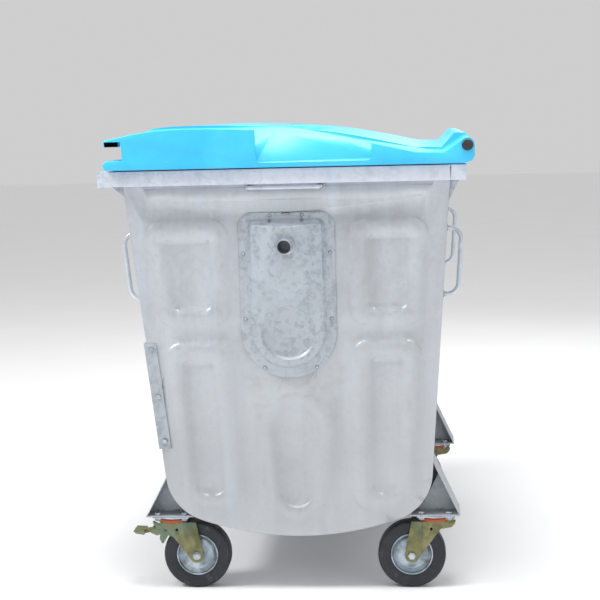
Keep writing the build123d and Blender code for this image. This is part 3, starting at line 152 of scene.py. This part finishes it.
class Shader:
    """One material's node tree and the steps that finishes are written in."""

    def __init__(self, name: str) -> None:
        """Starts a material with a Principled shader.

        Args:
            name: The material's name.
        """
        self.material = bpy.data.materials.new(name)
        self.material.use_nodes = True
        self.tree = self.material.node_tree
        self.surface = self.tree.nodes["Principled BSDF"]
        self.place = self.node("ShaderNodeTexCoord", output="Object")

    def node(self, kind: str, settings: dict[str, object] | None = None,
             inputs: dict[str | int, object] | None = None, output: int | str = 0) -> Value:
        """Adds any node.

        Args:
            kind: The node's type.
            settings: Its attributes, set first.
            inputs: Values or links by socket name or number.
            output: Which output to return.

        Returns:
            The chosen output.
        """
        node = self.tree.nodes.new(kind)
        for name, setting in (settings or {}).items():
            setattr(node, name, setting)
        for key, item in (inputs or {}).items():
            feed(node.inputs[key], item)
        return Value(self.tree, node.outputs[output])

    def stretched(self, stretch: Stretch, shift: float) -> Value:
        """Object coordinates stretched along the axes and moved."""
        return self.node("ShaderNodeMapping", inputs={
            "Vector": self.place, "Scale": stretch, "Location": tuple(way * shift for way in SHIFT_WAY)})

    def noise(self, scale: float, detail: float, stretch: Stretch = UNSTRETCHED, shift: float = 0.0,
              roughness: float = 0.55, distortion: float = 0.0) -> Value:
        """Noise over the piece.

        Args:
            scale: Features per metre.
            detail: Octaves of finer noise.
            stretch: Factors on the coordinates; under 1 draws the pattern out.
            shift: Moves the pattern, so that two don't coincide.
            roughness: Strength of the finer octaves.
            distortion: How far the pattern swirls.

        Returns:
            The level, 0 to 1.
        """
        return self.node("ShaderNodeTexNoise", inputs={
            "Vector": self.stretched(stretch, shift), "Scale": scale, "Detail": detail,
            "Roughness": roughness, "Distortion": distortion})

    def grains(self, scale: float, shift: float = 0.0) -> Value:
        """A random level for each crystal-like cell.

        Args:
            scale: Cells per metre.
            shift: Moves the pattern.

        Returns:
            The level, 0 to 1.
        """
        cells = self.node("ShaderNodeTexVoronoi", inputs={
            "Vector": self.stretched(UNSTRETCHED, shift), "Scale": scale}, output="Color")
        return self.node("ShaderNodeSeparateColor", inputs={0: cells})

    def height(self) -> Value:
        """Height above the floor in metres."""
        return self.node("ShaderNodeSeparateXYZ", inputs={0: self.place}, output="Z")

    def fade(self, value: Value, low: float, high: float, start: float = 0.0, end: float = 1.0) -> Value:
        """Maps low to start and high to end, and holds beyond them."""
        return self.node("ShaderNodeMapRange", {"interpolation_type": "SMOOTHSTEP"}, {
            "Value": value, "From Min": low, "From Max": high, "To Min": start, "To Max": end})

    def blend(self, factor: Value | float, low: Value | Colour, high: Value | Colour) -> Value:
        """Colour between low and high by the factor."""
        return self.node("ShaderNodeMix", {"data_type": "RGBA"},
                         {MIX_FACTOR: factor, MIX_LOW: low, MIX_HIGH: high}, output=MIX_RESULT)

    def bump(self, height: Value, strength: float, distance: float, rounding: float = 0.0) -> Value:
        """Normal of a relief.

        Args:
            height: The relief's level.
            strength: How strongly it shows, 0 to 1.
            distance: Its depth in metres.
            rounding: Radius in metres by which edges look rounded, or 0.

        Returns:
            The normal.
        """
        inputs = {"Strength": strength, "Distance": distance, "Height": height}
        if rounding:
            inputs["Normal"] = self.node("ShaderNodeBevel", {"samples": ROUNDING_SAMPLES}, {"Radius": rounding})
        return self.node("ShaderNodeBump", inputs=inputs)

    def dress(self, colour: Value | Colour, roughness: Value | float, metallic: Value | float = 0.0,
              normal: Value | None = None, coat: float = 0.0, coat_roughness: float = 0.2) -> bpy.types.Material:
        """Feeds the surface.

        Args:
            colour: Base colour.
            roughness: Roughness.
            metallic: Metallic share.
            normal: Normal of the relief.
            coat: Weight of a clear coat.
            coat_roughness: The coat's roughness.

        Returns:
            The finished material.
        """
        feeds = {"Base Color": colour, "Roughness": roughness, "Metallic": metallic, "Coat Weight": coat}
        if normal is not None:
            feeds["Normal"] = normal
        for name, item in feeds.items():
            feed(self.surface.inputs[name], item)
        self.surface.inputs["Coat Roughness"].default_value = coat_roughness
        return self.material


@dataclass(frozen=True)
class Galvanised:
    """Hot-dip galvanised sheet: spangle, cloudy zinc, runs, grey patches, a painted reflection in blue-tinted
    bands and a grey that deepens towards the bottom.
    """

    light: Colour = paint(202, 207, 213)
    dark: Colour = paint(178, 182, 187)
    spangle: float = 0.15
    stain: float = 0.25
    metallic: float = 0.35
    rounding: float = 0.0
    patch: Colour = paint(150, 150, 150)
    # Painted reflection: the blue-tinted sheen laid over the sheet in long bands.
    painted_sheen: Colour = paint(190, 212, 232)
    speck: Colour = paint(120, 122, 126)
    # The grey that the sheet turns towards lower down.
    bottom_grey: Colour = paint(150, 151, 150)

    def make(self, name: str) -> bpy.types.Material:
        """Builds the material.

        Args:
            name: The material's name.

        Returns:
            The material.
        """
        shader = Shader(name)
        crystals = shader.grains(70) * 0.6 + shader.grains(150, 3.0) * 0.4
        cloud = shader.noise(3.5, 6, shift=2.0)
        runs = shader.noise(9, 5, stretch=(1, 2.2, 0.18), shift=5.0)
        specks = shader.fade(shader.noise(140, 3, shift=7.0), 0.66, 0.75)
        tone = crystals * self.spangle + cloud * (0.65 - self.spangle * 0.5) + runs * 0.35
        colour = shader.blend(shader.fade(tone, 0.25, 0.75), self.dark, self.light)
        patches = shader.noise(6, 7, stretch=(1, 1, 0.35), shift=9.0, roughness=0.65)
        colour = shader.blend(shader.fade(patches, 0.56, 0.72) * self.stain, colour, self.patch)
        # Painted reflection: long blue-tinted bands of sheen blended over the zinc.
        sheen_streaks = shader.noise(4, 4, stretch=(1, 3.0, 0.25), shift=12.0)
        colour = shader.blend(shader.fade(sheen_streaks, 0.58, 0.75) * 0.35, colour, self.painted_sheen)
        colour = shader.blend(specks * 0.2, colour, self.speck)
        # Greyer towards the bottom: a share of 0.35 below 0.25 m that fades to none at 1.1 m.
        low = shader.fade(shader.height(), 0.25, 1.1, start=0.35, end=0.0)
        colour = shader.blend(low, colour, self.bottom_grey)
        roughness = shader.fade(crystals + cloud * 0.5, 0.3, 1.2, start=0.36, end=0.56)
        relief = crystals * 0.5 + shader.noise(320, 2, shift=4.0) * 0.25 + runs * 0.6
        normal = shader.bump(relief, strength=0.16, distance=0.0009, rounding=self.rounding)
        return shader.dress(colour, roughness, self.metallic, normal)


@dataclass(frozen=True)
class LidPlastic:
    """Light blue moulded polyethylene with fine grain, faint swirls, dust and scratches."""

    colour: Colour = paint(70, 205, 252)
    deep: Colour = paint(56, 190, 246)
    dust: Colour = paint(170, 225, 250)
    scratch: Colour = paint(205, 240, 255)

    def make(self, name: str) -> bpy.types.Material:
        """Builds the material.

        Args:
            name: The material's name.

        Returns:
            The material.
        """
        shader = Shader(name)
        swirl = shader.noise(5, 5, shift=1.0, distortion=0.6)
        grain = shader.noise(420, 3, shift=2.0)
        dust = shader.fade(shader.noise(22, 8, stretch=(1, 1, 0.5), shift=4.0, roughness=0.7), 0.58, 0.78)
        scratches = shader.noise(60, 4, stretch=(0.12, 1.0, 3.0), shift=6.0, roughness=0.6)
        scratch = shader.fade(scratches, 0.64, 0.72)
        colour = shader.blend(shader.fade(swirl, 0.3, 0.7), self.deep, self.colour)
        colour = shader.blend(dust * 0.10, colour, self.dust)
        colour = shader.blend(scratch * 0.12, colour, self.scratch)
        roughness = shader.fade(grain + dust * 0.4, 0.3, 1.1, start=0.34, end=0.55)
        normal = shader.bump(grain * 0.5 + scratch * 0.3, strength=0.12, distance=0.0004)
        return shader.dress(colour, roughness, normal=normal, coat=0.12, coat_roughness=0.3)


@dataclass(frozen=True)
class Rubber:
    """Solid black rubber, dusty and scuffed."""

    black: Colour = paint(30, 31, 38)
    dusty: Colour = paint(66, 68, 78)
    scuffed: Colour = paint(112, 114, 124)

    def make(self, name: str) -> bpy.types.Material:
        """Builds the material.

        Args:
            name: The material's name.

        Returns:
            The material.
        """
        shader = Shader(name)
        scuff = shader.fade(shader.noise(45, 8, shift=3.0, roughness=0.7), 0.55, 0.72)
        dust = shader.fade(shader.noise(9, 6, shift=6.0, roughness=0.65), 0.45, 0.75)
        grain = shader.noise(700, 2, shift=8.0)
        colour = shader.blend(dust * 0.5, self.black, self.dusty)
        colour = shader.blend(scuff * 0.45, colour, self.scuffed)
        roughness = shader.fade(dust + scuff, 0.0, 1.6, start=0.55, end=0.85)
        normal = shader.bump(grain * 0.5 + scuff * 0.5, strength=0.25, distance=0.0006)
        return shader.dress(colour, roughness, normal=normal)


@dataclass(frozen=True)
class PlatedZinc:
    """Zinc plating in cloudy tints, from bright to yellow passivated."""

    tints: tuple[Colour, Colour, Colour] = (paint(150, 155, 162), paint(205, 210, 216), paint(176, 186, 198))
    metallic: float = 0.75
    rough: tuple[float, float] = (0.25, 0.45)
    scale: float = 26.0
    grime: Colour = paint(60, 58, 52)

    def make(self, name: str) -> bpy.types.Material:
        """Builds the material.

        Args:
            name: The material's name.

        Returns:
            The material.
        """
        shader = Shader(name)
        cloud = shader.noise(self.scale, 5, shift=2.0, distortion=0.5)
        patch = shader.noise(self.scale * 0.4, 4, shift=5.0)
        fine = shader.noise(380, 3, shift=7.0)
        colour = shader.blend(shader.fade(cloud, 0.32, 0.68), self.tints[0], self.tints[1])
        colour = shader.blend(shader.fade(patch, 0.42, 0.64), colour, self.tints[2])
        grime = shader.fade(shader.noise(70, 6, shift=9.0, roughness=0.7), 0.6, 0.76)
        colour = shader.blend(grime * 0.3, colour, self.grime)
        roughness = shader.fade(cloud + fine * 0.4, 0.3, 1.1, *self.rough)
        return shader.dress(colour, roughness, self.metallic, shader.bump(fine, strength=0.12, distance=0.0005))


@dataclass(frozen=True)
class SmallPlastic:
    """Moulded plastic of small pieces, with grain and a dusting."""

    colour: Colour
    dust: Colour
    roughest: float = 0.65
    smoothest: float = 0.42

    def make(self, name: str) -> bpy.types.Material:
        """Builds the material.

        Args:
            name: The material's name.

        Returns:
            The material.
        """
        shader = Shader(name)
        grain = shader.noise(500, 3, shift=1.0)
        dust = shader.fade(shader.noise(60, 6, shift=3.0, roughness=0.65), 0.5, 0.75)
        colour = shader.blend(dust * 0.35, self.colour, self.dust)
        roughness = shader.fade(grain + dust, 0.3, 1.6, self.smoothest, self.roughest)
        return shader.dress(colour, roughness, normal=shader.bump(grain, strength=0.2, distance=0.0004))


class Finish(Enum):
    """The finishes of the container's pieces."""

    BODY = "galvanised_body"
    PRESSED = "galvanised_pressed"
    RAIL = "galvanised_rail"
    WELD = "galvanised_weld"
    LID = "blue_polyethylene"
    TYRE = "black_rubber"
    DISC = "wheel_disc_zinc"
    YELLOW = "yellow_zinc"
    BRIGHT = "bright_zinc"
    HANDLE = "handle_zinc"
    SEAL = "orange_seal"
    DARK = "dark_plastic"


Recipe = Galvanised | LidPlastic | Rubber | PlatedZinc | SmallPlastic
RECIPES: dict[Finish, Recipe] = {
    Finish.BODY: Galvanised(rounding=0.002),
    Finish.PRESSED: Galvanised(light=paint(186, 194, 202), dark=paint(150, 159, 168), spangle=0.45, stain=0.2,
                               metallic=0.4, rounding=0.002),
    Finish.RAIL: Galvanised(light=paint(226, 231, 242), dark=paint(190, 198, 212), spangle=0.2, stain=0.15),
    Finish.WELD: Galvanised(light=paint(190, 195, 200), dark=paint(120, 125, 130), spangle=0.3, stain=0.5),
    Finish.LID: LidPlastic(),
    Finish.TYRE: Rubber(),
    Finish.DISC: PlatedZinc(tints=(paint(120, 128, 136), paint(190, 204, 214), paint(150, 170, 184)),
                            metallic=0.6),
    Finish.YELLOW: PlatedZinc(tints=(paint(96, 98, 66), paint(140, 136, 96), paint(104, 124, 106)),
                              metallic=0.55, rough=(0.3, 0.5)),
    Finish.BRIGHT: PlatedZinc(),
    Finish.HANDLE: PlatedZinc(tints=(paint(190, 197, 206), paint(222, 228, 236), paint(205, 213, 223)),
                              metallic=0.45),
    Finish.SEAL: SmallPlastic(paint(178, 78, 34), paint(120, 84, 60)),
    Finish.DARK: SmallPlastic(paint(46, 48, 54), paint(92, 94, 100)),
}
MATERIALS: dict[Finish, bpy.types.Material] = {}


def finish(kind: Finish) -> bpy.types.Material:
    """The material of a finish, made once.

    Args:
        kind: Which finish.

    Returns:
        Its material.
    """
    if kind not in MATERIALS:
        MATERIALS[kind] = RECIPES[kind].make(kind.value)
    return MATERIALS[kind]


def wear(piece: bpy.types.Object, kind: Finish) -> None:
    """Gives a piece one finish all over."""
    piece.data.materials.clear()
    piece.data.materials.append(finish(kind))


def make_active(piece: bpy.types.Object) -> None:
    """Selects one object and nothing else.

    Args:
        piece: The object.
    """
    bpy.ops.object.select_all(action="DESELECT")
    piece.select_set(True)
    bpy.context.view_layer.objects.active = piece


def crease(edge: bmesh.types.BMEdge) -> float:
    """Angle between an edge's faces, in degrees."""
    return math.degrees(edge.calc_face_angle(0.0))


def softened(node: str, width: float, segments: int = 2, sharp: float = 20.0,
             pick: Callable[[Vector, bmesh.types.BMEdge], bool] | None = None) -> bpy.types.Object:
    """A merged copy of a CAD node with rounded edges, which stands for it.

    Args:
        node: The CAD node.
        width: Width of the rounding in metres, or 0 for none.
        segments: Strips across the rounding.
        sharp: Least crease that is rounded, in degrees.
        pick: Says from an edge's middle and the edge whether it is rounded.

    Returns:
        The new piece, riding on the node's body.
    """
    piece = bpy.data.objects.new(f"{node}_dressed", NODES[node].data.copy())
    bpy.context.scene.collection.objects.link(piece)
    make_active(piece)
    bpy.ops.object.mode_set(mode="EDIT")
    bpy.ops.mesh.select_all(action="SELECT")
    bpy.ops.mesh.remove_doubles(threshold=MERGE_GAP)
    if width > 0:
        bpy.ops.mesh.dissolve_limited(angle_limit=math.radians(FLAT_ANGLE))
        bpy.ops.mesh.select_all(action="DESELECT")
        bpy.ops.mesh.select_mode(type="EDGE")
        mesh = bmesh.from_edit_mesh(piece.data)
        for edge in mesh.edges:
            middle = (edge.verts[0].co + edge.verts[1].co) / 2
            edge.select_set(crease(edge) > sharp and (pick is None or pick(middle, edge)))
        bmesh.update_edit_mesh(piece.data)
        bpy.ops.mesh.bevel(offset=width, segments=segments, profile=0.5, clamp_overlap=False)
    bpy.ops.object.mode_set(mode="OBJECT")
    bpy.ops.object.shade_smooth_by_angle(angle=math.radians(SMOOTH_ANGLE))
    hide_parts(node)
    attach(piece, BODIES[node])
    log.info("%s: %d faces", piece.name, len(piece.data.polygons))
    return piece


@dataclass
class Tub:
    """The steel tub with its rim, plates, handles, guards, hinge and drain."""

    edge: float = 0.5 * MM
    plate_crease: float = 12.0

    def build(self) -> None:
        """Dresses every piece of the tub."""
        for side in SIDES:
            wear(softened(f"side_panel_{side}", 0), Finish.BODY)
            wear(softened(f"side_rail_{side}", self.edge), Finish.RAIL)
            wear(softened(f"trunnion_plate_{side}", self.edge, sharp=self.plate_crease), Finish.PRESSED)
            wear(softened(f"trunnion_tube_{side}", self.edge), Finish.BRIGHT)
            for end in ENDS:
                wear(softened(f"{end}_handle_{side}", 0), Finish.HANDLE)
        for node in ("mantle_sheet", "drain_socket"):
            wear(softened(node, 0), Finish.BODY)
        for node in ("comb_rail", "rear_rail"):
            wear(softened(node, self.edge), Finish.RAIL)
        for node in ("rim_gussets", "corner_guards", "hinge_brackets"):
            wear(softened(node, self.edge), Finish.PRESSED)
        for node in ("trunnion_rivets", "frame_bolts", "hinge_rod"):
            wear(softened(node, 0), Finish.BRIGHT)
        wear(softened("hook_bars", 0), Finish.HANDLE)
        for node in ("hinge_caps", "drain_plug"):
            wear(softened(node, self.edge), Finish.DARK)


@dataclass
class LidShell:
    """The blue lid."""

    edge: float = 3.0 * MM
    strips: int = 3
    least_crease: float = 25.0
    least_length: float = 4.0 * MM
    end_gap: float = 0.5 * MM
    half: float = field(default_factory=lambda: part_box("lid")[1].x)

    def build(self) -> None:
        """Rounds the edges of the lid's ends and colours it."""
        wear(softened("lid", self.edge, self.strips, self.least_crease, self.outside), Finish.LID)

    def outside(self, middle: Vector, edge: bmesh.types.BMEdge) -> bool:
        """Whether an edge lies on an end face of the lid and isn't a short one."""
        return abs(abs(middle.x) - self.half) < self.end_gap and edge.calc_length() > self.least_length


@dataclass
class Casters:
    """The four casters with their brackets."""

    edge: float = 0.6 * MM

    def build(self) -> None:
        """Dresses every caster."""
        for corner in CORNERS:
            wear(softened(f"caster_bracket_{corner}", self.edge), Finish.PRESSED)
            wear(softened(f"caster_plate_{corner}", self.edge), Finish.BRIGHT)
            wear(softened(f"swivel_seal_{corner}", self.edge), Finish.SEAL)
            wear(softened(f"caster_fork_{corner}", self.edge), Finish.YELLOW)
            wear(softened(f"axle_bolt_{corner}", self.edge), Finish.BRIGHT)
            wear(softened(f"hub_bearings_{corner}", 0), Finish.DARK)
            wear(softened(f"wheel_rim_{corner}", self.edge), Finish.DISC)
            wear(softened(f"tyre_{corner}", 0), Finish.TYRE)
            if corner.startswith("front"):
                wear(softened(f"brake_pedal_{corner}", self.edge), Finish.YELLOW)


@dataclass
class Welds:
    """Weld beads at the handles' feet, the hook bars' ends and the caster brackets' webs."""

    throat: float = 4.0 * MM
    ring_blobs: int = 12
    blob_widths: tuple[float, float] = (0.95, 1.15)
    blob_height: float = 0.75
    hook_reach: float = 39.0 * MM
    hook_inset: float = 6 * MM
    hook_ring: float = 9 * MM
    foot_inset: float = 6.5 * MM
    foot_ring: float = 8.5 * MM
    front_draft: float = 5.9
    rear_draft: float = 4.1
    web_side: float = 3.5 * MM
    web_rise: float = 5.5 * MM
    web_shares: tuple[float, ...] = (0.18, 0.24, 0.30, 0.55, 0.61, 0.67)

    def build(self) -> None:
        """Lays every bead."""
        for side, sign in (("right", 1), ("left", -1)):
            for end, outward in (("front", -1), ("rear", 1)):
                self.foot_beads(f"{end}_handle_{side}", outward)
            self.bracket_beads(side)
            self.hook_beads(side, sign)

    def turns(self) -> list[tuple[float, float]]:
        """Cosine and sine of each blob's place round a rod."""
        angles = [2 * math.pi * number / self.ring_blobs for number in range(self.ring_blobs)]
        return [(math.cos(angle), math.sin(angle)) for angle in angles]

    def foot_beads(self, node: str, outward: int) -> None:
        """A ring of weld at both feet of a handle.

        Args:
            node: The handle's node.
            outward: -1 at the front, 1 at the rear.
        """
        low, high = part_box(node)
        middle = (low.x + high.x) / 2
        for name, z in (("high", high.z - self.foot_inset), ("low", low.z + self.foot_inset)):
            wall = self.wall_y(outward, z)
            self.bead(f"{node}_weld_{name}", [
                Vector((middle + self.foot_ring * across, wall, z + self.foot_ring * up))
                for across, up in self.turns()])

    def wall_y(self, outward: int, z: float) -> float:
        """Y of the tub's front or rear wall at a height, from the mantle's own box.

        Args:
            outward: -1 for the front wall, 1 for the rear.
            z: The height in metres.

        Returns:
            The wall's outer Y in metres.
        """
        low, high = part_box("mantle_sheet")
        edge = low.y if outward < 0 else high.y
        draft = math.tan(math.radians(self.front_draft if outward < 0 else self.rear_draft))
        return edge - outward * (high.z - z) * draft

    def bracket_beads(self, side: str) -> None:
        """Beads beside the web's foot on each bracket of a side.

        Args:
            side: Which side.
        """
        for end in ENDS:
            low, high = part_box(f"caster_bracket_{end}_{side}")
            middle = (low.x + high.x) / 2
            for name, face in (("in", -1), ("out", 1)):
                self.bead(f"bracket_weld_{end}_{side}_{name}", [
                    Vector((middle + face * self.web_side, low.y + share * (high.y - low.y),
                            low.z + self.web_rise)) for share in self.web_shares])

    def hook_beads(self, side: str, sign: int) -> None:
        """A ring of weld at both ends of a hook bar.

        Args:
            side: Which side.
            sign: 1 on the right, -1 on the left.
        """
        low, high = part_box("hook_bars")
        face = sign * (high.x - self.hook_reach)
        middle = (low.z + high.z) / 2
        for end, y in zip(ENDS, (low.y + self.hook_inset, high.y - self.hook_inset)):
            self.bead(f"hook_weld_{side}_{end}", [
                Vector((face, y + self.hook_ring * across, middle + self.hook_ring * up))
                for across, up in self.turns()])

    def bead(self, name: str, points: list[Vector]) -> None:
        """One bead of overlapping blobs, riding on the container.

        Args:
            name: The piece's name.
            points: The middle of each blob.
        """
        blobs = []
        for number, point in enumerate(points):
            bpy.ops.object.select_all(action="DESELECT")
            bpy.ops.mesh.primitive_ico_sphere_add(subdivisions=2, radius=self.throat, location=point)
            blob = bpy.context.object
            blob.scale = (1.0, self.blob_widths[number % 2], self.blob_height)
            blobs.append(blob)
        bpy.ops.object.select_all(action="DESELECT")
        for blob in blobs:
            blob.select_set(True)
        bpy.context.view_layer.objects.active = blobs[0]
        bpy.ops.object.join()
        piece = bpy.context.object
        bpy.ops.object.transform_apply(location=True, rotation=True, scale=True)
        bpy.ops.object.shade_smooth_by_angle(angle=math.radians(WELD_SMOOTH_ANGLE))
        piece.name = name
        wear(piece, Finish.WELD)
        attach(piece, "container")
        log.info("%s: %d faces", piece.name, len(piece.data.polygons))


@dataclass
class Studio:
    """Floor, lights and the camera at the photograph's angle.

    The camera's place, its three axes and its focal length in pixels are those fitted to the photograph.
    """

    place: Vector = Vector((5.005, 0.3995, 1.3906))
    right: Vector = Vector((-0.07955, 0.99651, -0.02510))
    down: Vector = Vector((0.11856, -0.01554, -0.99282))
    forward: Vector = Vector((-0.98975, -0.08195, -0.11691))
    focal_pixels: float = 1555.28
    frame_pixels: float = 600.0
    sensor: float = 36.0
    aim: Vector = Vector((0, 0, 0.7))
    floor_size: float = 60
    air_strength: float = 0.62

    def build(self) -> None:
        """Sets the stage."""
        bpy.context.scene.view_settings.view_transform = "Standard"
        self.floor()
        self.world()
        self.lamp("key_light", (1.9, -4.2, 5.2), size=1.3, power=190)
        self.lamp("fill_light", (4.6, 4.0, 2.2), size=2.6, power=15)
        self.lamp("top_light", (1.2, 0.3, 4.9), size=1.8, power=150)
        self.lamp("rear_light", (-4.0, 1.5, 3.2), size=2.6, power=40)
        self.camera()

    def floor(self) -> None:
        """A plain pale floor."""
        bpy.ops.mesh.primitive_plane_add(size=self.floor_size, location=(0, 0, 0))
        floor = bpy.context.object
        floor.name = "studio_floor"
        shader = Shader("studio_floor")
        colour = shader.blend(shader.noise(2.0, 3), paint(244, 244, 245), paint(250, 250, 251))
        floor.data.materials.append(shader.dress(colour, 0.75))

    def world(self) -> None:
        """Even pale surroundings."""
        world = bpy.data.worlds.new("studio_air")
        world.use_nodes = True
        back = world.node_tree.nodes["Background"]
        back.inputs["Color"].default_value = (1.0, 1.0, 1.0, 1.0)
        back.inputs["Strength"].default_value = self.air_strength
        bpy.context.scene.world = world

    def lamp(self, name: str, place: tuple[float, float, float], size: float, power: float) -> None:
        """Adds a square soft light that faces the container.

        Args:
            name: The light's name.
            place: Where it stands, in metres.
            size: Its side in metres.
            power: Its power in watts.
        """
        light = bpy.data.lights.new(name, "AREA")
        light.size = size
        light.energy = power
        holder = bpy.data.objects.new(name, light)
        holder.location = place
        holder.rotation_euler = (self.aim - Vector(place)).to_track_quat("-Z", "Y").to_euler()
        bpy.context.scene.collection.objects.link(holder)

    def camera(self) -> None:
        """Adds the camera that was fitted to the photograph."""
        camera = bpy.data.cameras.new("photo_camera")
        camera.sensor_width = self.sensor
        camera.sensor_fit = "HORIZONTAL"
        camera.lens = self.focal_pixels / self.frame_pixels * self.sensor
        holder = bpy.data.objects.new("photo_camera", camera)
        turn = Matrix((self.right, -self.down, -self.forward)).transposed()
        holder.matrix_world = Matrix.Translation(self.place) @ turn.to_4x4()
        bpy.context.scene.collection.objects.link(holder)
        bpy.context.scene.camera = holder


def main() -> None:
    """Builds and dresses the container."""
    logging.basicConfig(level=logging.INFO, format="%(message)s")
    Tub().build()
    LidShell().build()
    Casters().build()
    Welds().build()
    Studio().build()


if __name__ == "__main__":
    main()
